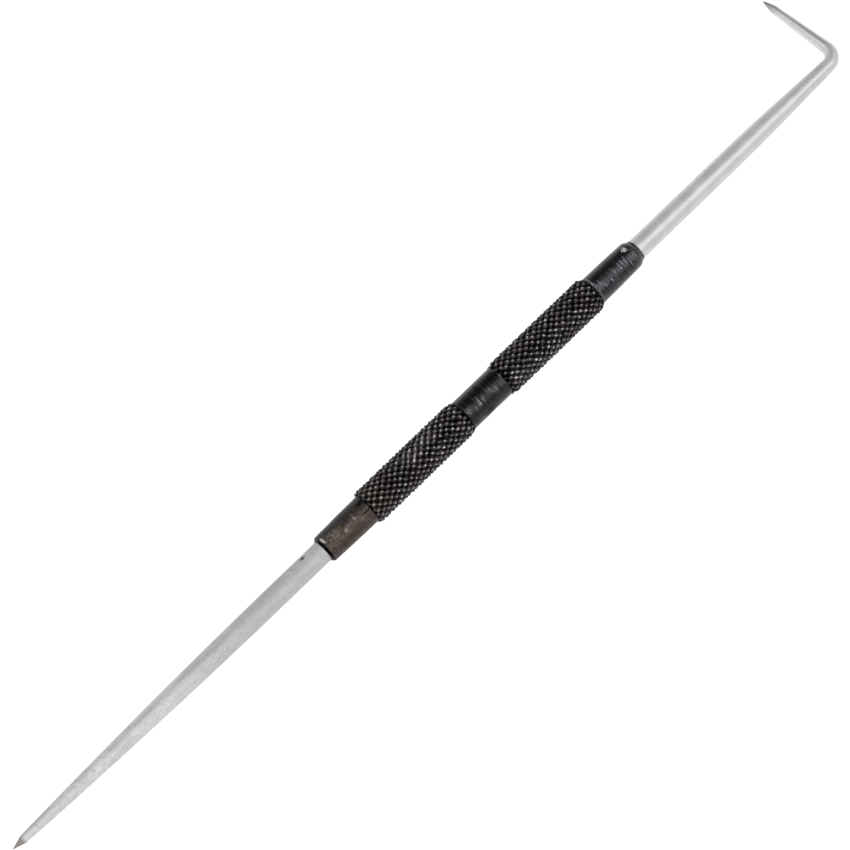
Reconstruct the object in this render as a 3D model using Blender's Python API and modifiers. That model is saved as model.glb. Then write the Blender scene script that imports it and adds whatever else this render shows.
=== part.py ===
"""Double-ended scratch awl (engineer's scriber), nominal 9 inch.

A blackened steel handle with two diamond-knurled grips holds two hardened
steel points: a long straight one and one whose end is bent square.
It lies on a table: the knurled grips and the bent leg touch it.

Units are metres, +Z is up.  The handle's axis runs along X, with the bent
point at +X, and the bent leg points to +Y and down to the table.
"""
import math

import bmesh
import bpy

MM = 0.001

# ---- handle ---------------------------------------------------------------
NECK_LEN = 11.07 * MM          # plain neck between the two grips
NECK_R = 3.40 * MM
GRIP_LEN = 25.80 * MM          # one knurled grip
CREST_R = 4.00 * MM            # tips of the knurl (5/16 inch stock)
KNURL_DEPTH = 0.40 * MM
KNURL_AROUND = 16              # diamonds around the grip
KNURL_ALONG = 29               # half diamonds along the grip
STRAIGHT_COLLAR = 11.91 * MM   # collar on the straight point's side
BENT_COLLAR = 12.70 * MM       # collar on the bent point's side
COLLAR_R = 3.17 * MM           # beside the knurl
COLLAR_END_R = 2.98 * MM       # swaged down at the outer end
END_CHAMFER = 0.35 * MM
MOUTH_R = 2.80 * MM            # flat rim round the straight point
NOSE_LEN = 1.70 * MM           # tapered nose on the bent point's side
LIP_R = 2.68 * MM              # end of the nose
BORE_DEPTH = 18.0 * MM
FIT_GAP = 0.30 * MM            # clearance kept between handle and shanks

# ---- points ---------------------------------------------------------------
ROD_R = 2.29 * MM              # 4.6 mm rod
SHANK_IN = BORE_DEPTH - FIT_GAP
STRAIGHT_TIP = 123.62 * MM     # handle middle to the straight tip
TAPER_LEN = 70.0 * MM          # length over which the straight rod narrows
TAPER_END_R = 0.88 * MM        # where the ground tip starts
GROUND_LEN = 2.90 * MM         # length of the steeper ground tip
TIP_R = 0.13 * MM
HOOK_BEND = 104.15 * MM        # handle middle to the bent leg's axis
HOOK_LEG = 20.50 * MM          # rod axis to the bent tip
BEND_R = 3.10 * MM             # centreline radius of the bend
HOOK_SLOPE = 0.0335            # radius lost per length along the drawn end
HOOK_DRAW_FROM = 78.5 * MM     # where the drawn end begins
HOOK_DRAW_BLEND = 6.0 * MM
HOOK_GROUND = 3.00 * MM        # length of the bent point's steeper ground tip

SIDES = 2 * KNURL_AROUND
HALF_SIDE = math.pi / SIDES    # turns the grip so that it lies on a flat
AXIS_HEIGHT = CREST_R * math.cos(HALF_SIDE)
HALF_NECK = NECK_LEN / 2
GRIP_END = HALF_NECK + GRIP_LEN
STRAIGHT_END = GRIP_END + STRAIGHT_COLLAR      # handle middle to that end
BENT_END = GRIP_END + BENT_COLLAR

LEG_START = HOOK_BEND - BEND_R + BEND_R * math.pi / 2    # measured along the rod


def hook_radius(along):
    """Radius of the bent rod at a distance from the handle's middle."""
    past = along - HOOK_DRAW_FROM
    drawn = (past + math.hypot(past, HOOK_DRAW_BLEND)) / 2
    return ROD_R - HOOK_SLOPE * drawn


def roll_to_touch(reach, radius):
    """Roll that brings a leg of this radius, at this reach, down to the table."""
    return math.asin(AXIS_HEIGHT / math.hypot(reach, radius)) - math.atan2(radius, reach)


# The tool rolls until the bent leg meets the table, with its axis at AXIS_HEIGHT.
SHOULDER = HOOK_LEG - HOOK_GROUND
SHOULDER_R = hook_radius(LEG_START + SHOULDER - BEND_R)
ROLL = min(roll_to_touch(HOOK_LEG, TIP_R), roll_to_touch(SHOULDER, SHOULDER_R))
CORNER_R = hook_radius(HOOK_BEND)
MIDDLE_X = (HOOK_BEND + CORNER_R - STRAIGHT_TIP) / 2
MIDDLE_Y = (HOOK_LEG * math.cos(ROLL) - CREST_R) / 2


# ---- scene helpers --------------------------------------------------------
for old in list(bpy.data.objects):
    bpy.data.objects.remove(old, do_unlink=True)

tool = bpy.data.collections.new("scratch_awl")
bpy.context.scene.collection.children.link(tool)


def principled(name, colour, metallic, roughness):
    mat = bpy.data.materials.new(name)
    mat.use_nodes = True
    shader = mat.node_tree.nodes["Principled BSDF"]
    shader.inputs["Base Color"].default_value = (*colour, 1.0)
    shader.inputs["Metallic"].default_value = metallic
    shader.inputs["Roughness"].default_value = roughness
    return mat


def smooth(mesh, degrees=30):
    mesh.shade_smooth()
    mesh.set_sharp_from_angle(angle=math.radians(degrees))


def turned(name, profile, sides, start=0.0):
    """Spin a list of (radius, height) points, given top to bottom, about Z."""
    across, along = math.cos(start), math.sin(start)
    outline = bpy.data.meshes.new(name + "_profile")
    edges = [(i, i + 1) for i in range(len(profile) - 1)]
    outline.from_pydata([(r * across, r * along, z) for r, z in profile], edges, [])
    guide = bpy.data.objects.new(name + "_profile", outline)
    tool.objects.link(guide)
    screw = guide.modifiers.new("Screw", "SCREW")
    screw.axis = "Z"
    screw.steps = sides
    screw.render_steps = sides
    screw.use_merge_vertices = True
    screw.merge_threshold = 0.000001
    bpy.context.view_layer.update()
    graph = bpy.context.evaluated_depsgraph_get()
    mesh = bpy.data.meshes.new_from_object(guide.evaluated_get(graph))
    bpy.data.objects.remove(guide, do_unlink=True)
    mesh.name = name
    obj = bpy.data.objects.new(name, mesh)
    tool.objects.link(obj)
    return obj


# ---- handle ---------------------------------------------------------------
def knurl_rows():
    step = GRIP_LEN / KNURL_ALONG
    return [HALF_NECK + step * i for i in range(KNURL_ALONG + 1)]


def handle_profile():
    bore_r = ROD_R + FIT_GAP
    rows = knurl_rows()
    top = [
        (0.0, BENT_END - BORE_DEPTH),
        (bore_r, BENT_END - BORE_DEPTH),
        (bore_r, BENT_END),
        (LIP_R, BENT_END),
        (LIP_R + 0.12 * MM, BENT_END - NOSE_LEN / 2),
        (COLLAR_END_R, BENT_END - NOSE_LEN),
        (COLLAR_R, GRIP_END + 1.0 * MM),
        (COLLAR_R, GRIP_END),
    ]
    upper = [(CREST_R, z) for z in reversed(rows[1:-1])]
    neck = [(NECK_R, HALF_NECK), (NECK_R, -HALF_NECK)]
    lower = [(CREST_R, -z) for z in rows[1:-1]]
    bottom = [
        (COLLAR_R, -GRIP_END),
        (COLLAR_R, -GRIP_END - 1.0 * MM),
        (COLLAR_END_R, -STRAIGHT_END + END_CHAMFER),
        (MOUTH_R, -STRAIGHT_END),
        (bore_r, -STRAIGHT_END),
        (bore_r, -STRAIGHT_END + BORE_DEPTH),
        (0.0, -STRAIGHT_END + BORE_DEPTH),
    ]
    return top + upper + neck + lower + bottom


def cut_diamonds(mesh):
    """Sink every other point of the grips, so each raised one is a diamond."""
    step = GRIP_LEN / KNURL_ALONG
    turn = 2 * math.pi / SIDES
    bm = bmesh.new()
    bm.from_mesh(mesh)
    grip = []
    for v in bm.verts:
        radius = math.hypot(v.co.x, v.co.y)
        if abs(radius - CREST_R) > 0.01 * MM:
            continue
        row = round((abs(v.co.z) - HALF_NECK) / step)
        column = round((math.atan2(v.co.y, v.co.x) - HALF_SIDE) / turn)
        grip.append(v)
        if (row + column) % 2:
            v.co.x *= 1 - KNURL_DEPTH / radius
            v.co.y *= 1 - KNURL_DEPTH / radius
    faces = {f for v in grip for f in v.link_faces}
    bmesh.ops.triangulate(bm, faces=list(faces), quad_method="SHORT_EDGE")
    bm.to_mesh(mesh)
    bm.free()


handle = turned("handle_body", handle_profile(), SIDES, HALF_SIDE)
cut_diamonds(handle.data)
smooth(handle.data, 20)
handle.data.materials.append(principled("black_oxide", (0.030, 0.028, 0.030), 0.75, 0.42))

# ---- straight point -------------------------------------------------------


def straight_radius(from_tip):
    """Ogive taper from the rod down to the ground tip."""
    left = max(0.0, (TAPER_LEN - from_tip) / (TAPER_LEN - GROUND_LEN))
    return ROD_R - (ROD_R - TAPER_END_R) * left ** 2


def straight_profile():
    inner = STRAIGHT_END - SHANK_IN
    points = [(0.0, -inner), (ROD_R - 0.3 * MM, -inner), (ROD_R, -inner - 0.3 * MM)]
    count = 14
    for i in range(count):
        from_tip = TAPER_LEN + (GROUND_LEN - TAPER_LEN) * i / (count - 1)
        points.append((straight_radius(from_tip), -STRAIGHT_TIP + from_tip))
    points.append((0.77 * MM, -STRAIGHT_TIP + 2.40 * MM))
    points.append((0.42 * MM, -STRAIGHT_TIP + 1.20 * MM))
    points.append((TIP_R, -STRAIGHT_TIP + 0.08 * MM))
    points.append((0.0, -STRAIGHT_TIP))
    return points


straight = turned("straight_point", straight_profile(), 24)
smooth(straight.data)
straight.data.materials.append(principled("ground_steel", (0.56, 0.55, 0.55), 1.0, 0.38))

# ---- bent point -----------------------------------------------------------


def bent_path():
    """(x, y, radius) along the bent rod, from inside the handle to its tip."""
    start = BENT_END - SHANK_IN
    path = [(start, 0.0, ROD_R - 0.2 * MM), (start + 0.3 * MM, 0.0, ROD_R)]
    first = HOOK_BEND - BEND_R
    count = 16
    for i in range(count + 1):
        x = 62.0 * MM + (first - 62.0 * MM) * i / count
        path.append((x, 0.0, hook_radius(x)))
    turns = 10
    for i in range(1, turns + 1):
        angle = math.pi / 2 * i / turns
        x = first + BEND_R * math.sin(angle)
        y = BEND_R * (1 - math.cos(angle))
        path.append((x, y, hook_radius(first + BEND_R * angle)))
    for y in (6.0 * MM, 10.0 * MM, 14.0 * MM, SHOULDER):
        path.append((HOOK_BEND, y, hook_radius(LEG_START + y - BEND_R)))
    path.append((HOOK_BEND, HOOK_LEG - 1.3 * MM, 0.48 * MM))
    path.append((HOOK_BEND, HOOK_LEG, TIP_R))
    return path


def bent_rod():
    curve = bpy.data.curves.new("hook_point", "CURVE")
    curve.dimensions = "3D"
    curve.bevel_depth = ROD_R
    curve.bevel_resolution = 8
    curve.use_fill_caps = True
    path = bent_path()
    spline = curve.splines.new("POLY")
    spline.points.add(len(path) - 1)
    for point, (x, y, radius) in zip(spline.points, path):
        point.co = (x, y, 0.0, 1.0)
        point.radius = radius / ROD_R
    spline.use_smooth = True
    guide = bpy.data.objects.new("hook_guide", curve)
    tool.objects.link(guide)
    bpy.context.view_layer.update()
    graph = bpy.context.evaluated_depsgraph_get()
    mesh = bpy.data.meshes.new_from_object(guide.evaluated_get(graph))
    bpy.data.objects.remove(guide, do_unlink=True)
    bm = bmesh.new()
    bm.from_mesh(mesh)
    bmesh.ops.remove_doubles(bm, verts=bm.verts[:], dist=0.000001)
    bm.to_mesh(mesh)
    bm.free()
    mesh.name = "hook_point"
    obj = bpy.data.objects.new("hook_point", mesh)
    tool.objects.link(obj)
    return obj


hook = bent_rod()
smooth(hook.data)
hook.data.materials.clear()
hook.data.materials.append(principled("bright_steel", (0.62, 0.62, 0.63), 1.0, 0.24))

# ---- placing --------------------------------------------------------------
axis = bpy.data.objects.new("tool_axis", None)
axis.location = (-MIDDLE_X, -MIDDLE_Y, AXIS_HEIGHT)
tool.objects.link(axis)
for turned_piece in (handle, straight):
    turned_piece.parent = axis
    turned_piece.rotation_euler = (0.0, math.pi / 2, 0.0)
hook.parent = axis
hook.rotation_euler = (-ROLL, 0.0, 0.0)
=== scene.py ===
"""Looks of the double-ended scratch awl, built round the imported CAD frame."""
import math

import bmesh
import bpy
import numpy as np
from mathutils import Matrix, Vector, noise


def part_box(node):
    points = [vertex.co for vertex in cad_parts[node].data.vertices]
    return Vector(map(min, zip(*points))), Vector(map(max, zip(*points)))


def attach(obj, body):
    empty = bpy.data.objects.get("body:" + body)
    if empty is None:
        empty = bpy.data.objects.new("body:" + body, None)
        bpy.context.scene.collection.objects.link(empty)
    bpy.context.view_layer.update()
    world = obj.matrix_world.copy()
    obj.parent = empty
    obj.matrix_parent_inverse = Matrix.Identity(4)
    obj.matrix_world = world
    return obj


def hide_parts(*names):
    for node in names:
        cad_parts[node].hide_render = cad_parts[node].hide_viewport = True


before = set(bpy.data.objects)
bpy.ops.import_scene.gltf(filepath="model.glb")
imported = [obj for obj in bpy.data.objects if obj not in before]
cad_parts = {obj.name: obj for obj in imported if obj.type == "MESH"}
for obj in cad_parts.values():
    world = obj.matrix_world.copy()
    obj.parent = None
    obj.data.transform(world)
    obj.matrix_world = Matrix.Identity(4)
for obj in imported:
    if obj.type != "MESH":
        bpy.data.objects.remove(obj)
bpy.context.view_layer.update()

MM = 0.001

# ---- sizes repeated from part.py -------------------------------------------
HALF_NECK = 5.535 * MM
NECK_R = 3.40 * MM
GRIP_LEN = 25.80 * MM
CREST_R = 4.00 * MM
AROUND = 16
ALONG = 29
STRAIGHT_COLLAR = 11.91 * MM
BENT_COLLAR = 12.70 * MM
COLLAR_R = 3.17 * MM
COLLAR_END_R = 2.98 * MM
BORE_DEPTH = 18.0 * MM
FIT_GAP = 0.30 * MM
ROD_R = 2.29 * MM
STRAIGHT_TIP = 123.62 * MM
TAPER_LEN = 70.0 * MM
TAPER_END_R = 0.88 * MM
GROUND_LEN = 2.90 * MM
HOOK_BEND = 104.15 * MM
HOOK_LEG = 20.50 * MM
BEND_R = 3.10 * MM
HOOK_SLOPE = 0.0335
HOOK_DRAW_FROM = 78.5 * MM
HOOK_DRAW_BLEND = 6.0 * MM
HOOK_GROUND = 3.00 * MM
TIP_R = 0.13 * MM
GRIP_END = HALF_NECK + GRIP_LEN
STRAIGHT_END = GRIP_END + STRAIGHT_COLLAR
BENT_END = GRIP_END + BENT_COLLAR
AXIS_HEIGHT = CREST_R * math.cos(math.pi / AROUND / 2)

# ---- sizes of the visible surface only -------------------------------------
KNURL_DEPTH = 0.62 * MM
BORE_R = 2.34 * MM
LEFT_GRIP = (-31.33 * MM, -5.12 * MM)
RIGHT_GRIP = (5.45 * MM, 31.62 * MM)
FINE_TIP_R = 0.06 * MM
TIP_BLEND = 3.2 * MM        # where the straight point's tip is meshed more finely
TIP_FLATS = 3.0 * MM        # length of its hand-ground flats
ROD_ROUGHNESS = 0.006 * MM  # unevenness of both rods

# ---- mesh fineness ---------------------------------------------------------
COLUMNS = AROUND * 12       # points round the handle
KNURL_ROWS = ALONG * 6
COLLAR_ROWS = 26
NECK_ROWS = 27
STRAIGHT_SIDES = 96
BENT_SIDES = 72

lo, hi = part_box("handle_body")
MIDDLE = Vector((lo.x + STRAIGHT_END, (lo.y + hi.y) / 2, (lo.z + hi.z) / 2))


def hook_radius(along):
    past = along - HOOK_DRAW_FROM
    drawn = (past + math.hypot(past, HOOK_DRAW_BLEND)) / 2
    return ROD_R - HOOK_SLOPE * drawn


def roll_to_touch(reach, radius):
    return math.asin(AXIS_HEIGHT / math.hypot(reach, radius)) - math.atan2(radius, reach)


LEG_START = HOOK_BEND - BEND_R + BEND_R * math.pi / 2
SHOULDER = HOOK_LEG - HOOK_GROUND
SHOULDER_R = hook_radius(LEG_START + SHOULDER - BEND_R)
ROLL = min(roll_to_touch(HOOK_LEG, TIP_R), roll_to_touch(SHOULDER, SHOULDER_R))


# ---- mesh helpers ----------------------------------------------------------
def lofted(name, rings):
    """A closed skin over rings of points, with a fan over each end."""
    count = len(rings[0])
    points = [p for ring_points in rings for p in ring_points]
    first = len(points)
    points += [np.mean(rings[0], axis=0), np.mean(rings[-1], axis=0)]
    faces = []
    for r in range(len(rings) - 1):
        a, b = r * count, (r + 1) * count
        for c in range(count):
            n = (c + 1) % count
            faces.append((a + c, a + n, b + n, b + c))
    last = (len(rings) - 1) * count
    for c in range(count):
        n = (c + 1) % count
        faces.append((first, n, c))
        faces.append((first + 1, last + c, last + n))
    mesh = bpy.data.meshes.new(name)
    mesh.from_pydata([tuple(map(float, p)) for p in points], [], faces)
    bm = bmesh.new()
    bm.from_mesh(mesh)
    bmesh.ops.recalc_face_normals(bm, faces=bm.faces[:])
    bm.to_mesh(mesh)
    bm.free()
    mesh.shade_smooth()
    obj = bpy.data.objects.new(name, mesh)
    bpy.context.scene.collection.objects.link(obj)
    return obj


def ring(x, radii, angles):
    """Points round the tool's axis at x from the handle's middle. Angle 0 is down."""
    y = MIDDLE.y + radii * np.sin(angles)
    z = MIDDLE.z - radii * np.cos(angles)
    return np.stack([np.full_like(y, MIDDLE.x + x), y, z], axis=1)


def wave(x, angle, scale, seed):
    """Smooth noise in -1..1 on the handle's surface, seamless round it."""
    r = 3.4 * MM
    p = Vector((x, r * math.sin(angle), -r * math.cos(angle))) / scale
    return noise.noise(p + Vector((seed * 7.31, seed * 3.17, seed * 1.73)))


# ---- handle ----------------------------------------------------------------
ANGLES = np.arange(COLUMNS) * 2 * math.pi / COLUMNS


def crest(x):
    """Height of the knurl's crests, rounded off at both ends of each grip."""
    if x < 0:
        outer, inner = x - LEFT_GRIP[0], LEFT_GRIP[1] - x
        outer_len, inner_len = 0.35 * MM, 1.4 * MM
        foot_out, foot_in = COLLAR_R + 0.45 * MM, NECK_R + 0.22 * MM
    else:
        inner, outer = x - RIGHT_GRIP[0], RIGHT_GRIP[1] - x
        outer_len, inner_len = 1.35 * MM, 1.8 * MM
        foot_out, foot_in = COLLAR_R + 0.03 * MM, NECK_R + 0.30 * MM
    near = min(max(inner, 0.0) / inner_len, 1.0)
    far = min(max(outer, 0.0) / outer_len, 1.0)
    r = foot_in + (CREST_R - foot_in) * math.sin(near * math.pi / 2)
    r2 = foot_out + (CREST_R - foot_out) * math.sin(far * math.pi / 2)
    return min(r, r2)


def patch(x, angle, at_x, at_angle, long, wide):
    """1 in the middle of an oval patch of the handle, falling to 0 outside it."""
    across = math.degrees(math.remainder(angle - math.radians(at_angle), 2 * math.pi))
    return math.exp(-((x / MM - at_x) / long) ** 4 - (across / wide) ** 4)


def scatter(i, j, seed):
    """A random number in 0..1 that belongs to one diamond of the knurl."""
    mixed = math.sin(i * 127.1 + (j % (2 * AROUND)) * 311.7 + seed * 74.7) * 43758.5453
    return mixed - math.floor(mixed)


def tent(u, apex):
    """1 at the apex, falling to 0 at both edges of a diamond."""
    return (u + 0.5) / (apex + 0.5) if u < apex else (0.5 - u) / (0.5 - apex)


def knurl_row(x):
    """Radii round one row of a grip: two crossing families of V grooves."""
    step = GRIP_LEN / ALONG
    along = (abs(x) - HALF_NECK) / (2 * step)
    top = crest(x)
    radii = np.empty(COLUMNS)
    for c in range(COLUMNS):
        angle = ANGLES[c]
        turn = AROUND * c / COLUMNS + 0.25
        a = (along + turn + 0.10 * wave(x, angle, 3.5 * MM, 11)
             + 0.08 * wave(x, angle, 1.2 * MM, 21))
        b = (along - turn + 0.10 * wave(x, angle, 3.5 * MM, 12)
             + 0.08 * wave(x, angle, 1.2 * MM, 22))
        i, j = round(a) + round(b), round(a) - round(b)
        ha = tent(a - round(a), 0.3 * (scatter(i, j, 1) - 0.5))
        hb = tent(b - round(b), 0.3 * (scatter(i, j, 2) - 0.5))
        # grooves that were cut less deeply leave long ridges
        weak_a = 0.5 * wave(x, angle, 4.5 * MM, 2) - 0.10
        weak_b = 0.5 * wave(x, angle, 4.5 * MM, 9) - 0.12
        weak_a += 0.62 * patch(x, angle, -17.5, 163, 6.5, 24)
        weak_b += 0.45 * patch(x, angle, -10.5, 212, 5.0, 16)
        weak_a += 0.50 * patch(x, angle, 9.5, 215, 4.0, 24)
        weak_a += 0.45 * patch(x, angle, 22.5, 205, 4.5, 16)
        ha = ha + (1 - ha) * min(0.70, max(0.0, weak_a))
        hb = hb + (1 - hb) * min(0.70, max(0.0, weak_b))
        # grooves are shallower between the crossings, where the steel is pushed up
        height = 0.55 * min(ha, hb) + 0.225 * (ha + hb)
        height = height ** 1.35 * (1 - 0.22 * scatter(i, j, 3))
        # thin burrs along the ridges
        burr = max(math.exp(-((1 - ha) / 0.18) ** 2), math.exp(-((1 - hb) / 0.18) ** 2))
        height += 0.20 * burr * (1 - height)
        height += 0.13 * wave(x, angle, 0.35 * MM, 31)
        worn = 0.84 + 0.12 * wave(x, angle, 0.8 * MM, 1)
        if height > worn:
            height = worn + 0.25 * (height - worn)
        radii[c] = min(CREST_R, top - KNURL_DEPTH * (0.86 - height))
    return radii


def dent(x, angle, at_x, at_angle, width, depth):
    """Depth of a round dent in the handle, felt at (x, angle)."""
    across = 3.0 * MM * math.remainder(angle - at_angle, 2 * math.pi)
    return depth * math.exp(-((x - at_x) ** 2 + across ** 2) / width ** 2)


def turned_row(x, r, unevenness=0.012 * MM):
    """Radii round one plain row of the handle, with its dents and punch mark."""
    radii = np.full(COLUMNS, r)
    for c in range(COLUMNS):
        angle = ANGLES[c]
        radii[c] += unevenness * wave(x, angle, 2.2 * MM, 3)
        radii[c] += unevenness * 0.5 * wave(x, angle, 0.7 * MM, 4)
        radii[c] -= dent(x, angle, 41.6 * MM, math.radians(156), 0.40 * MM, 0.24 * MM)
        radii[c] -= dent(x, angle, 40.9 * MM, math.radians(162), 0.22 * MM, 0.12 * MM)
        radii[c] -= dent(x, angle, -42.3 * MM, math.radians(158), 0.35 * MM, 0.08 * MM)
        radii[c] -= dent(x, angle, 1.0 * MM, math.radians(286), 0.55 * MM, 0.10 * MM)
    return radii


def handle_rings():
    """Rings from inside the straight point's bore to inside the bent point's."""
    rows = []
    plain = np.ones(COLUMNS)
    left, right = -STRAIGHT_END, BENT_END
    for x in (left + BORE_DEPTH, left + 0.30 * MM):
        rows.append((x, BORE_R * plain))
    # rim and chamfer round the straight point, in millimetres from that end
    for inward, r in ((0.08, 2.37), (0.0, 2.40), (0.0, 2.46), (0.04, 2.52),
                      (0.25, 2.72), (0.44, 2.90)):
        x = left + inward * MM
        rows.append((x, turned_row(x, r * MM)))
    for i in range(COLLAR_ROWS):
        part = i / (COLLAR_ROWS - 1)
        x = left + 0.55 * MM + (STRAIGHT_COLLAR - 0.55 * MM) * part
        r = COLLAR_END_R + (COLLAR_R - COLLAR_END_R) * math.sin(part * math.pi / 2)
        rows.append((x, turned_row(x, r, 0.02 * MM)))
    for i in range(KNURL_ROWS + 1):
        x = LEFT_GRIP[0] + (LEFT_GRIP[1] - LEFT_GRIP[0]) * i / KNURL_ROWS
        rows.append((x, knurl_row(x)))
    for i in range(NECK_ROWS):
        x = LEFT_GRIP[1] + (RIGHT_GRIP[0] - LEFT_GRIP[1]) * (i + 0.5) / NECK_ROWS
        rows.append((x, turned_row(x, NECK_R, 0.014 * MM)))
    for i in range(KNURL_ROWS + 1):
        x = RIGHT_GRIP[0] + (RIGHT_GRIP[1] - RIGHT_GRIP[0]) * i / KNURL_ROWS
        rows.append((x, knurl_row(x)))
    for i in range(COLLAR_ROWS):
        part = i / (COLLAR_ROWS - 1)
        x = RIGHT_GRIP[1] + 0.10 * MM + (BENT_END - 1.75 * MM - RIGHT_GRIP[1]) * part
        r = COLLAR_R + (COLLAR_END_R - COLLAR_R) * (1 - math.cos(part * math.pi / 2))
        rows.append((x, turned_row(x, r)))
    # rounded nose round the bent point, in millimetres from that end
    for inward, r in ((1.45, 2.95), (1.20, 2.89), (0.95, 2.78), (0.75, 2.64), (0.60, 2.54),
                      (0.45, 2.47), (0.20, 2.44), (0.05, 2.41), (0.0, 2.37)):
        x = right - inward * MM
        rows.append((x, turned_row(x, r * MM)))
    for x in (right - 0.10 * MM, right - BORE_DEPTH):
        rows.append((x, BORE_R * plain))
    return [ring(x, radii, ANGLES) for x, radii in rows]


handle = lofted("handle_grip", handle_rings())
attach(handle, "root")
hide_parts("handle_body")


# ---- straight point --------------------------------------------------------
def straight_radius(from_tip):
    """The long convex taper."""
    left = max(0.0, (TAPER_LEN - from_tip) / (TAPER_LEN - GROUND_LEN))
    return ROD_R - (ROD_R - TAPER_END_R) * left ** 2


def ground_radius(from_tip):
    """The steeper hand-ground tip, running into the long taper above it."""
    return min(FINE_TIP_R + 0.315 * from_tip, straight_radius(max(from_tip, GROUND_LEN)))


def straight_rings():
    """Rings from the shank's inner end to the tip."""
    angles = np.arange(STRAIGHT_SIDES) * 2 * math.pi / STRAIGHT_SIDES
    inner = STRAIGHT_END - BORE_DEPTH + FIT_GAP
    rows = [(-inner, ROD_R - 0.3 * MM), (-inner - 0.3 * MM, ROD_R)]
    start, end = -STRAIGHT_END + 2 * MM, -STRAIGHT_TIP + TAPER_LEN
    for i in range(30):
        rows.append((start + (end - start) * i / 29, ROD_R))
    for i in range(1, 121):
        from_tip = TAPER_LEN + (TIP_BLEND - TAPER_LEN) * i / 120
        rows.append((-STRAIGHT_TIP + from_tip, straight_radius(from_tip)))
    for i in range(1, 25):
        from_tip = TIP_BLEND * (1 - i / 24)
        rows.append((-STRAIGHT_TIP + from_tip, ground_radius(from_tip)))
    made = []
    for x, r in rows:
        from_tip = x + STRAIGHT_TIP
        radii = np.full(STRAIGHT_SIDES, r)
        for c in range(STRAIGHT_SIDES):
            radii[c] += ROD_ROUGHNESS * wave(x, angles[c], 3.0 * MM, 5) * min(1, r / MM)
            if from_tip < TIP_FLATS:       # six flats left by grinding the tip by hand
                turn = math.remainder(angles[c] - 0.3, math.pi / 3)
                flat = math.cos(turn) / math.cos(math.pi / 6)
                radii[c] /= 1 + (flat - 1) * 0.6 * min(1, (TIP_FLATS - from_tip) / MM)
        made.append(ring(x, radii, angles))
    return made


straight = lofted("straight_scriber_point", straight_rings())
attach(straight, "root")
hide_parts("straight_point")


# ---- bent point ------------------------------------------------------------
def bent_path():
    """(x, y, radius) in the plane of the bent rod, from its shank to its tip."""
    start = BENT_END - BORE_DEPTH + FIT_GAP
    path = [(start, 0.0, ROD_R - 0.2 * MM), (start + 0.3 * MM, 0.0, ROD_R)]
    first = HOOK_BEND - BEND_R
    for i in range(61):
        x = BENT_END - 2 * MM + (first - BENT_END + 2 * MM) * i / 60
        path.append((x, 0.0, hook_radius(x)))
    for i in range(1, 33):
        angle = math.pi / 2 * i / 32
        x = first + BEND_R * math.sin(angle)
        y = BEND_R * (1 - math.cos(angle))
        path.append((x, y, hook_radius(first + BEND_R * angle)))
    for i in range(1, 41):
        y = BEND_R + (SHOULDER - BEND_R) * i / 40
        path.append((HOOK_BEND, y, hook_radius(LEG_START + y - BEND_R)))
    for i in range(1, 17):
        y = SHOULDER + HOOK_GROUND * i / 16
        left = (HOOK_LEG - y) / HOOK_GROUND
        path.append((HOOK_BEND, y, FINE_TIP_R + (SHOULDER_R - FINE_TIP_R) * left ** 0.85))
    return path


def bent_rings():
    """Rings along the bent rod, rolled until its leg meets the table."""
    angles = np.arange(BENT_SIDES) * 2 * math.pi / BENT_SIDES
    path = bent_path()
    roll = Matrix.Rotation(-ROLL, 3, "X")
    made = []
    for i, (x, y, r) in enumerate(path):
        a = path[max(0, i - 1)]
        b = path[min(len(path) - 1, i + 1)]
        along = Vector((b[0] - a[0], b[1] - a[1], 0)).normalized()
        side = Vector((-along.y, along.x, 0))
        points = []
        for angle in angles:
            uneven = r + ROD_ROUGHNESS * wave(x + y, angle, 3.0 * MM, 6) * min(1, r / MM)
            p = Vector((x, y, -uneven * math.cos(angle))) + side * (uneven * math.sin(angle))
            points.append(tuple(MIDDLE + roll @ p))
        made.append(np.array(points))
    return made


hook = lofted("bent_scriber_point", bent_rings())
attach(hook, "root")
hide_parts("hook_point")


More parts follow.
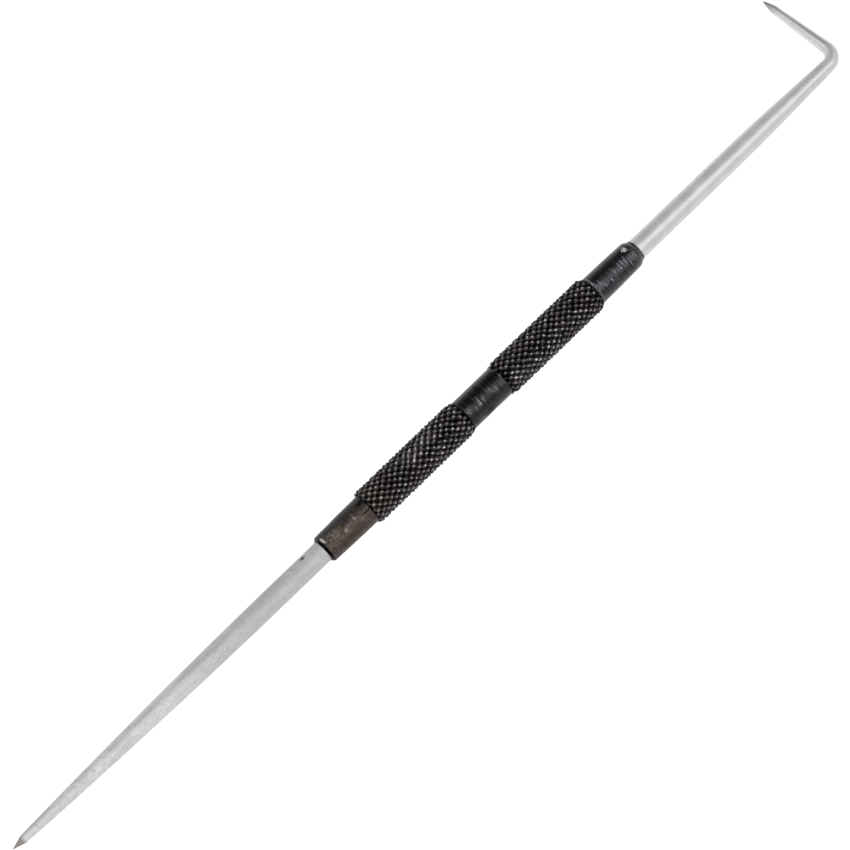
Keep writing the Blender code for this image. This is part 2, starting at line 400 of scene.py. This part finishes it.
# ---- materials -------------------------------------------------------------
class Nodes:
    """A material's node tree; its space is millimetres from the handle's middle."""

    def __init__(self, name):
        self.mat = bpy.data.materials.new(name)
        self.mat.use_nodes = True
        self.tree = self.mat.node_tree
        self.shader = self.tree.nodes["Principled BSDF"]
        coord = self.tree.nodes.new("ShaderNodeTexCoord")
        mapping = self.tree.nodes.new("ShaderNodeMapping")
        mapping.inputs["Scale"].default_value = (1000, 1000, 1000)
        mapping.inputs["Location"].default_value = [-1000 * v for v in MIDDLE]
        self.tree.links.new(coord.outputs["Object"], mapping.inputs["Vector"])
        self.space = mapping.outputs["Vector"]
        split = self.tree.nodes.new("ShaderNodeSeparateXYZ")
        self.link(self.space, split.inputs["Vector"])
        self.x, self.y, self.z = split.outputs

    def link(self, a, b):
        self.tree.links.new(a, b)

    def stretched(self, scale):
        node = self.tree.nodes.new("ShaderNodeMapping")
        node.inputs["Scale"].default_value = scale
        self.link(self.space, node.inputs["Vector"])
        return node.outputs["Vector"]

    def noise(self, scale, detail=3.0, rough=0.5, vector=None):
        node = self.tree.nodes.new("ShaderNodeTexNoise")
        node.inputs["Scale"].default_value = scale
        node.inputs["Detail"].default_value = detail
        node.inputs["Roughness"].default_value = rough
        self.link(vector or self.space, node.inputs["Vector"])
        return node.outputs["Fac"]

    def math(self, operation, a, b=None):
        node = self.tree.nodes.new("ShaderNodeMath")
        node.operation = operation
        for socket, value in zip(node.inputs, (a, b)):
            if isinstance(value, (int, float)):
                socket.default_value = value
            elif value is not None:
                self.link(value, socket)
        return node.outputs[0]

    def plus(self, a, b):
        return self.math("ADD", a, b)

    def times(self, a, b):
        return self.math("MULTIPLY", a, b)

    def ramp(self, value, low, high, to_low=0.0, to_high=1.0):
        node = self.tree.nodes.new("ShaderNodeMapRange")
        node.inputs["From Min"].default_value = low
        node.inputs["From Max"].default_value = high
        node.inputs["To Min"].default_value = to_low
        node.inputs["To Max"].default_value = to_high
        self.link(value, node.inputs["Value"])
        return node.outputs["Result"]

    def mix(self, factor, a, b):
        node = self.tree.nodes.new("ShaderNodeMix")
        node.data_type = "RGBA"
        self.link(factor, node.inputs[0])
        for socket, value in ((node.inputs[6], a), (node.inputs[7], b)):
            if isinstance(value, tuple):
                socket.default_value = (*value, 1.0)
            else:
                self.link(value, socket)
        return node.outputs[2]

    def band(self, value, low, high, soft):
        """1 between two values, falling to 0 over a short stretch outside them."""
        return self.times(self.ramp(value, low - soft, low), self.ramp(value, high + soft, high))

    def spot(self, centre, stretch, radius):
        """1 inside a soft blob round a point; stretch squeezes space along each axis."""
        node = self.tree.nodes.new("ShaderNodeVectorMath")
        node.operation = "SUBTRACT"
        self.link(self.space, node.inputs[0])
        node.inputs[1].default_value = centre
        squeeze = self.tree.nodes.new("ShaderNodeVectorMath")
        squeeze.operation = "MULTIPLY"
        self.link(node.outputs[0], squeeze.inputs[0])
        squeeze.inputs[1].default_value = stretch
        length = self.tree.nodes.new("ShaderNodeVectorMath")
        length.operation = "LENGTH"
        self.link(squeeze.outputs[0], length.inputs[0])
        wobble = self.ramp(self.noise(3.0), 0.3, 0.7, -0.15, 0.15)
        return self.ramp(self.plus(length.outputs["Value"], wobble), radius, radius * 0.5)

    def bump(self, height, distance, strength):
        node = self.tree.nodes.new("ShaderNodeBump")
        node.inputs["Strength"].default_value = strength
        node.inputs["Distance"].default_value = distance
        self.link(height, node.inputs["Height"])
        self.link(node.outputs["Normal"], self.shader.inputs["Normal"])


def black_oxide():
    """Blackened handle: matt where dirty, scratched, worn bright on the knurl's tips, with
    painted shade in the knurl's pits, on the straight end's chamfer and on one side of its
    collar, and painted highlights on lathe scratches and rims.
    """
    n = Nodes("black_oxide_steel")
    cloud = n.noise(0.30, 3.0, 0.55)
    fine = n.noise(1.8, 5.0, 0.62)
    grit = n.noise(8.0, 2.0, 0.5)
    specks = n.noise(4.2, 3.0, 0.6)
    lathe = n.noise(1.0, 3.0, 0.6, n.stretched((4.0, 0.40, 0.40)))
    radius = n.math("SQRT", n.plus(n.times(n.y, n.y), n.times(n.z, n.z)))
    left = n.band(n.x, LEFT_GRIP[0] / MM, LEFT_GRIP[1] / MM, 0.15)
    right = n.band(n.x, RIGHT_GRIP[0] / MM, RIGHT_GRIP[1] / MM, 0.15)
    grip = n.plus(left, right)
    neck = n.band(n.x, LEFT_GRIP[1] / MM, RIGHT_GRIP[0] / MM, 0.15)
    left_collar = n.ramp(n.x, LEFT_GRIP[0] / MM, LEFT_GRIP[0] / MM - 0.3)
    right_collar = n.ramp(n.x, RIGHT_GRIP[1] / MM, RIGHT_GRIP[1] / MM + 0.3)

    # black coat, with faint brown and plum clouds; "soot_and_painted_shade" takes its gloss
    # away, for matt dirt and to paint shade black in the knurl's pits, its flanks and the
    # chamfer
    base = n.mix(n.ramp(cloud, 0.35, 0.65), (0.0015, 0.0013, 0.0015), (0.0060, 0.0042, 0.0046))
    base = n.mix(n.ramp(fine, 0.60, 0.80), base, (0.024, 0.017, 0.017))
    soot_and_painted_shade = n.ramp(fine, 0.35, 0.65, 0.10, 0.30)

    # lathe scratches round the neck and the bent point's collar, painted pale only in a band
    # where the highlight falls: real scratches with a painted highlight
    highlight_band_painted = n.band(n.plus(n.y, n.ramp(cloud, 0.3, 0.7, -0.5, 0.5)), -1.4, 0.2, 0.6)
    scratch = n.times(n.ramp(lathe, 0.53, 0.62), n.ramp(specks, 0.42, 0.56))
    scratch = n.times(scratch, n.ramp(n.noise(0.6, 2.0, 0.5), 0.42, 0.56, 0.15, 1.0))
    base = n.mix(n.times(n.times(scratch, neck), highlight_band_painted), base, (0.24, 0.23, 0.232))
    dim = n.times(n.plus(neck, right_collar), n.ramp(lathe, 0.50, 0.36, 0.0, 0.45))
    soot_and_painted_shade = n.plus(soot_and_painted_shade, dim)
    soot_and_painted_shade = n.plus(soot_and_painted_shade, n.times(neck, n.ramp(specks, 0.4, 0.6, 0.05, 0.30)))
    # pale bluish scratches on the collar, kept to the highlight band: a painted highlight
    base = n.mix(n.times(n.times(scratch, right_collar), highlight_band_painted), base, (0.26, 0.25, 0.31))

    # the straight point's collar: browner and blotchy, with its +y side painted blacker as
    # painted shade
    side = n.plus(n.y, n.ramp(n.noise(0.50, 4.0, 0.62), 0.25, 0.75, -2.6, 2.6))
    brown = n.mix(n.ramp(fine, 0.35, 0.68), (0.044, 0.033, 0.027), (0.078, 0.059, 0.049))
    brown = n.mix(n.ramp(n.noise(0.75, 3.0, 0.6), 0.50, 0.55), brown, (0.046, 0.040, 0.030))
    pale = n.noise(0.62, 3.0, 0.6, n.stretched((1.0, 1.3, 1.3)))
    brown = n.mix(n.ramp(pale, 0.56, 0.62), brown, (0.085, 0.066, 0.060))
    brown = n.mix(n.ramp(grit, 0.64, 0.78), brown, (0.19, 0.17, 0.16))
    dark = n.mix(n.ramp(fine, 0.40, 0.62), (0.030, 0.030, 0.031), (0.060, 0.057, 0.056))
    # painted shade: the +y side is painted dark, the rest brown
    collar_marks_and_painted_light = n.mix(n.ramp(side, 1.9, 0.6), dark, brown)
    scuff = n.spot((-40.0, 0.55, 2.95), (0.36, 0.75, 0.75), 0.90)
    collar_marks_and_painted_light = n.mix(n.times(scuff, n.ramp(specks, 0.50, 0.62)), collar_marks_and_painted_light, (0.34, 0.28, 0.25))
    # painted highlight on the upper rim of the chamfer
    rim_glint_painted = n.spot((-42.35, 0.95, 2.75), (1.5, 0.7, 0.7), 0.60)
    collar_marks_and_painted_light = n.mix(rim_glint_painted, collar_marks_and_painted_light, (0.62, 0.54, 0.54))
    stain = n.spot((-37.7, -0.85, 3.00), (1.0, 0.9, 0.9), 0.45)
    collar_marks_and_painted_light = n.mix(stain, collar_marks_and_painted_light, (0.15, 0.12, 0.09))
    rub = n.spot((-35.0, 0.2, 3.10), (1.3, 0.5, 0.5), 0.60)
    collar_marks_and_painted_light = n.mix(n.times(rub, n.ramp(specks, 0.50, 0.60)), collar_marks_and_painted_light, (0.24, 0.22, 0.21))
    upper_mark = n.spot((-32.0, 1.25, 2.85), (0.45, 1.3, 1.3), 0.75)
    collar_marks_and_painted_light = n.mix(upper_mark, collar_marks_and_painted_light, (0.006, 0.006, 0.006))
    lower_mark = n.spot((-32.2, -0.9, 3.05), (0.35, 2.4, 2.4), 0.65)
    collar_marks_and_painted_light = n.mix(lower_mark, collar_marks_and_painted_light, (0.010, 0.009, 0.008))
    base = n.mix(left_collar, base, collar_marks_and_painted_light)
    soot_and_painted_shade = n.plus(soot_and_painted_shade, n.times(left_collar, n.ramp(fine, 0.35, 0.65, 0.85, 0.60)))

    # the chamfer at that end is painted black all along its lit side, less so at the top:
    # painted shade and dark reflection
    painted_dark_chamfer = n.ramp(n.x, -STRAIGHT_END / MM + 0.62, -STRAIGHT_END / MM + 0.50)
    painted_dark_chamfer = n.times(painted_dark_chamfer, n.ramp(n.y, 1.9, 1.2, 0.3, 1.0))
    base = n.mix(painted_dark_chamfer, base, (0.0015, 0.0015, 0.0015))
    soot_and_painted_shade = n.plus(soot_and_painted_shade, painted_dark_chamfer)

    # knurl: pits painted black as painted shade, grey flanks and tips worn bright
    full = n.plus(radius, n.ramp(n.x, RIGHT_GRIP[1] / MM - 1.1, RIGHT_GRIP[1] / MM, 0.0, 0.35))
    full = n.plus(full, n.ramp(n.math("ABSOLUTE", n.x), 6.9, 5.2, 0.0, 0.15))
    height = n.plus(full, n.ramp(fine, 0.3, 0.7, -0.08, 0.08))
    height = n.plus(height, n.ramp(grit, 0.3, 0.7, -0.05, 0.05))
    painted_pit_shade = n.times(grip, n.ramp(height, 3.66, 3.54))
    shade = n.times(grip, n.ramp(height, 3.86, 3.66, 0.0, 0.55))
    soot_and_painted_shade = n.plus(soot_and_painted_shade, shade)
    rust = n.ramp(n.plus(n.x, n.ramp(cloud, 0.3, 0.7, -2.0, 2.0)), -24.0, -29.0)
    flank = n.mix(n.ramp(cloud, 0.45, 0.62), (0.0045, 0.0040, 0.0042), (0.016, 0.0085, 0.0110))
    flank = n.mix(n.ramp(specks, 0.56, 0.68), flank, (0.14, 0.13, 0.13))
    flank = n.mix(n.times(rust, 0.7), flank, (0.050, 0.041, 0.032))
    base = n.mix(grip, base, flank)
    tips = n.times(n.ramp(height, 3.85, 3.98), n.ramp(specks, 0.36, 0.52, 0.25, 1.0))
    tips = n.times(tips, n.ramp(n.noise(0.95, 1.0, 0.5), 0.38, 0.62, 0.35, 1.0))
    base = n.mix(n.times(grip, tips), base, n.mix(rust, (0.64, 0.62, 0.625), (0.62, 0.58, 0.53)))
    # painted shade: the pits are painted black
    base = n.mix(painted_pit_shade, base, (0.0010, 0.0010, 0.0010))
    soot_and_painted_shade = n.plus(soot_and_painted_shade, painted_pit_shade)

    # painted highlight along the rim where the right grip meets its collar, and a rough nick on
    # the nose
    rim = n.band(n.x, RIGHT_GRIP[1] / MM - 0.05, RIGHT_GRIP[1] / MM + 0.30, 0.08)
    base = n.mix(n.times(rim, n.ramp(specks, 0.40, 0.55, 0.2, 1.0)), base, (0.13, 0.125, 0.13))
    nose = n.times(n.ramp(n.x, 40.8, 42.2), n.ramp(specks, 0.52, 0.62))
    base = n.mix(nose, base, (0.085, 0.082, 0.090))
    nick = n.spot((41.5, 1.20, 2.60), (0.8, 0.9, 0.9), 0.64)
    nick = n.times(nick, n.ramp(n.noise(3.4, 2.0, 0.5), 0.46, 0.54))
    base = n.mix(nick, base, (0.75, 0.74, 0.77))

    # dark smudge low on the neck
    smudge = n.spot((-0.4, -3.0, 0.3), (0.50, 1.0, 0.6), 1.0)
    base = n.mix(smudge, base, (0.001, 0.001, 0.001))
    soot_and_painted_shade = n.plus(soot_and_painted_shade, smudge)
    n.link(base, n.shader.inputs["Base Color"])
    n.link(n.math("MINIMUM", soot_and_painted_shade, 1.0), n.shader.inputs["Metallic"])

    rough = n.plus(n.ramp(cloud, 0.3, 0.7, 0.22, 0.32), n.ramp(grit, 0.3, 0.7, -0.05, 0.08))
    rough = n.plus(rough, n.times(left_collar, 0.18))
    rough = n.plus(rough, n.times(grip, 0.08))
    n.link(rough, n.shader.inputs["Roughness"])
    n.shader.inputs["IOR"].default_value = 1.56
    n.shader.inputs["Specular Tint"].default_value = (0.95, 0.93, 1.0, 1.0)
    relief = n.plus(n.times(fine, 0.5), n.times(lathe, 0.9))
    n.bump(n.plus(relief, n.times(grit, 0.4)), 0.00006, 0.8)
    return n.mat


def ground_steel():
    """Matt grey ground steel of the straight point."""
    n = Nodes("ground_steel")
    cloud = n.noise(0.22, 3.0, 0.5)
    mottle = n.noise(1.1, 4.0, 0.6)
    speck = n.noise(3.5, 3.0, 0.6)
    grain = n.noise(1.0, 3.0, 0.6, n.stretched((0.35, 7.0, 7.0)))
    base = n.mix(n.ramp(cloud, 0.3, 0.7), (0.43, 0.421, 0.423), (0.52, 0.512, 0.515))
    base = n.mix(n.ramp(mottle, 0.50, 0.68, 0.0, 0.6), base, (0.33, 0.32, 0.32))
    base = n.mix(n.ramp(speck, 0.56, 0.68, 0.0, 0.5), base, (0.30, 0.29, 0.29))
    base = n.mix(n.ramp(speck, 0.44, 0.32, 0.0, 0.6), base, (0.66, 0.65, 0.65))
    base = n.mix(n.ramp(grain, 0.62, 0.75, 0.0, 0.5), base, (0.34, 0.34, 0.35))
    # a greyer streak along the upper side of the taper: a painted dark reflection
    painted_dark_reflection = n.times(n.ramp(n.math("ABSOLUTE", n.math("SUBTRACT", n.y, 0.75)), 0.55, 0.15),
                    n.ramp(n.noise(1.0, 3.0, 0.5, n.stretched((0.12, 1.0, 1.0))), 0.40, 0.60))
    base = n.mix(n.times(painted_dark_reflection, n.ramp(n.x, -60.0, -75.0, 0.0, 0.7)), base, (0.30, 0.295, 0.30))
    base = n.mix(n.ramp(n.x, -90.0, -60.0, 0.0, 0.55), base, (0.27, 0.262, 0.265))
    tip = n.ramp(n.x, -STRAIGHT_TIP / MM + 2.9, -STRAIGHT_TIP / MM + 2.2)
    base = n.mix(tip, base, (0.20, 0.18, 0.155))
    base = n.mix(n.spot((-47.4, 1.40, 1.83), (0.8, 1.6, 1.6), 0.55), base, (0.010, 0.010, 0.010))
    base = n.mix(n.spot((-50.4, 1.30, 1.88), (1.0, 2.0, 2.0), 0.30), base, (0.12, 0.12, 0.12))
    n.link(base, n.shader.inputs["Base Color"])
    n.shader.inputs["Metallic"].default_value = 0.12
    rough = n.plus(n.ramp(mottle, 0.3, 0.7, 0.48, 0.58), n.ramp(grain, 0.3, 0.7, -0.05, 0.05))
    n.link(rough, n.shader.inputs["Roughness"])
    n.bump(n.plus(n.times(grain, 0.5), n.times(mottle, 0.5)), 0.00002, 0.5)
    return n.mat


def bright_steel():
    """Polished steel of the bent point, darker at its ground end."""
    n = Nodes("bright_steel")
    cloud = n.noise(0.3, 3.0, 0.5)
    speck = n.noise(2.6, 3.0, 0.6)
    grain = n.noise(1.0, 3.0, 0.6, n.stretched((0.3, 8.0, 8.0)))
    leg = n.ramp(n.y, 0.5, 4.0)
    base = n.mix(n.ramp(cloud, 0.3, 0.7), (0.41, 0.41, 0.422), (0.48, 0.48, 0.494))
    base = n.mix(leg, base, (0.57, 0.57, 0.585))
    base = n.mix(n.ramp(grain, 0.60, 0.75, 0.0, 0.4), base, (0.38, 0.38, 0.39))
    base = n.mix(n.ramp(speck, 0.62, 0.78, 0.0, 0.6), base, (0.30, 0.30, 0.31))
    # darker ground end of the bent leg
    base = n.mix(n.ramp(n.y, 15.5, 19.5, 0.0, 0.85), base, (0.16, 0.16, 0.165))
    n.link(base, n.shader.inputs["Base Color"])
    # the leg is polished brighter than the rod
    n.link(n.ramp(leg, 0.0, 1.0, 0.24, 0.55), n.shader.inputs["Metallic"])
    rough = n.plus(n.ramp(cloud, 0.3, 0.7, 0.27, 0.35), n.ramp(grain, 0.3, 0.7, -0.04, 0.04))
    rough = n.plus(rough, n.times(leg, -0.20))
    n.link(rough, n.shader.inputs["Roughness"])
    n.bump(grain, 0.00001, 0.4)
    return n.mat


for piece, mat in ((handle, black_oxide()), (straight, ground_steel()), (hook, bright_steel())):
    piece.data.materials.append(mat)


# ---- camera ----------------------------------------------------------------
ELEVATION = math.radians(72.55)          # above the table
YAW = math.radians(45.13)                # from the picture's right to the tool's axis
DISTANCE = 487.45 * MM
AIM = Vector((-10.96 * MM, -5.28 * MM))  # from the handle's middle to the picture's centre


def seen(right, away, above):
    """A direction given as the camera sees the table, turned into the row frame."""
    x = right * math.cos(YAW) + away * math.sin(YAW)
    y = -right * math.sin(YAW) + away * math.cos(YAW)
    return Vector((x, y, above))


target = MIDDLE + seen(AIM.x, AIM.y, 0)
back = seen(0, -math.cos(ELEVATION), math.sin(ELEVATION))
picture_right = seen(1, 0, 0)
camera = bpy.data.objects.new("Camera", bpy.data.cameras.new("Camera"))
camera.data.sensor_width = 36
camera.data.lens = 105.88
camera.data.clip_start = 0.01
camera.data.clip_end = 20
turned_to = Matrix((picture_right, back.cross(picture_right), back)).transposed().to_4x4()
camera.matrix_world = Matrix.Translation(target + back * DISTANCE) @ turned_to
bpy.context.scene.collection.objects.link(camera)
bpy.context.scene.camera = camera


# ---- floor and light -------------------------------------------------------
def floor_white():
    """A white light table, so the floor stays white right up to the steel."""
    mat = bpy.data.materials.new("pale_floor")
    mat.use_nodes = True
    shader = mat.node_tree.nodes["Principled BSDF"]
    shader.inputs["Base Color"].default_value = (0.40, 0.40, 0.40, 1)
    shader.inputs["Roughness"].default_value = 0.9
    shader.inputs["Specular IOR Level"].default_value = 0.0
    shader.inputs["Emission Color"].default_value = (1, 1, 1, 1)
    shader.inputs["Emission Strength"].default_value = 0.80
    return mat


floor_mesh = bpy.data.meshes.new("floor")
corners = [(-4, -4), (4, -4), (4, 4), (-4, 4)]
floor_mesh.from_pydata([(x, y, -0.0001) for x, y in corners], [], [(0, 1, 2, 3)])
floor_mesh.materials.append(floor_white())
floor = bpy.data.objects.new("floor", floor_mesh)
bpy.context.scene.collection.objects.link(floor)


def studio_tent():
    """Pale walls all round, falling off to a dark patch above the bent leg's side."""
    world = bpy.data.worlds.new("studio")
    bpy.context.scene.world = world
    world.use_nodes = True
    tree = world.node_tree

    def calc(operation, a, b=0.0):
        node = tree.nodes.new("ShaderNodeMath")
        node.operation = operation
        for socket, value in zip(node.inputs, (a, b)):
            if isinstance(value, float):
                socket.default_value = value
            else:
                tree.links.new(value, socket)
        return node.outputs[0]

    coord = tree.nodes.new("ShaderNodeTexCoord")
    split = tree.nodes.new("ShaderNodeSeparateXYZ")
    tree.links.new(coord.outputs["Generated"], split.inputs[0])
    x, y, z = split.outputs
    across = calc("ABSOLUTE", calc("SUBTRACT", calc("ARCTAN2", y, z), math.radians(42)))
    # the dark patch is a bar along x that closes quickly at its ends
    from_middle = calc("ABSOLUTE", calc("SUBTRACT", x, 0.38))
    along = calc("MAXIMUM", calc("SUBTRACT", from_middle, 0.28), 0.0)
    away = calc("ADD", across, calc("MULTIPLY", along, 3.6))
    fade = tree.nodes.new("ShaderNodeMapRange")
    fade.inputs["From Min"].default_value = math.radians(10)
    fade.inputs["From Max"].default_value = math.radians(58)
    fade.inputs["To Min"].default_value = 0.02
    fade.inputs["To Max"].default_value = 0.85
    tree.links.new(away, fade.inputs["Value"])
    background = tree.nodes["Background"]
    background.inputs["Color"].default_value = (1, 1, 1, 1)
    tree.links.new(fade.outputs["Result"], background.inputs["Strength"])


def softbox(name, towards, distance, size, radiance):
    """A soft light in a direction from the tool, facing it."""
    light = bpy.data.lights.new(name, "AREA")
    light.shape = "RECTANGLE"
    light.size, light.size_y = size
    light.energy = radiance * math.pi * size[0] * size[1]
    obj = bpy.data.objects.new(name, light)
    way = Vector(towards).normalized()
    up = way.cross(Vector((1, 0, 0))).normalized()
    facing = Matrix((up.cross(way), up, way)).transposed().to_4x4()
    obj.matrix_world = Matrix.Translation(way * distance) @ facing
    bpy.context.scene.collection.objects.link(obj)


studio_tent()
softbox("key", (0.20, -0.375, 0.905), 1.2, (1.6, 0.86), 1.97)
softbox("side", (-0.55, 0.26, 0.79), 1.2, (0.55, 0.70), 2.4)
bpy.context.scene.view_settings.view_transform = "Standard"
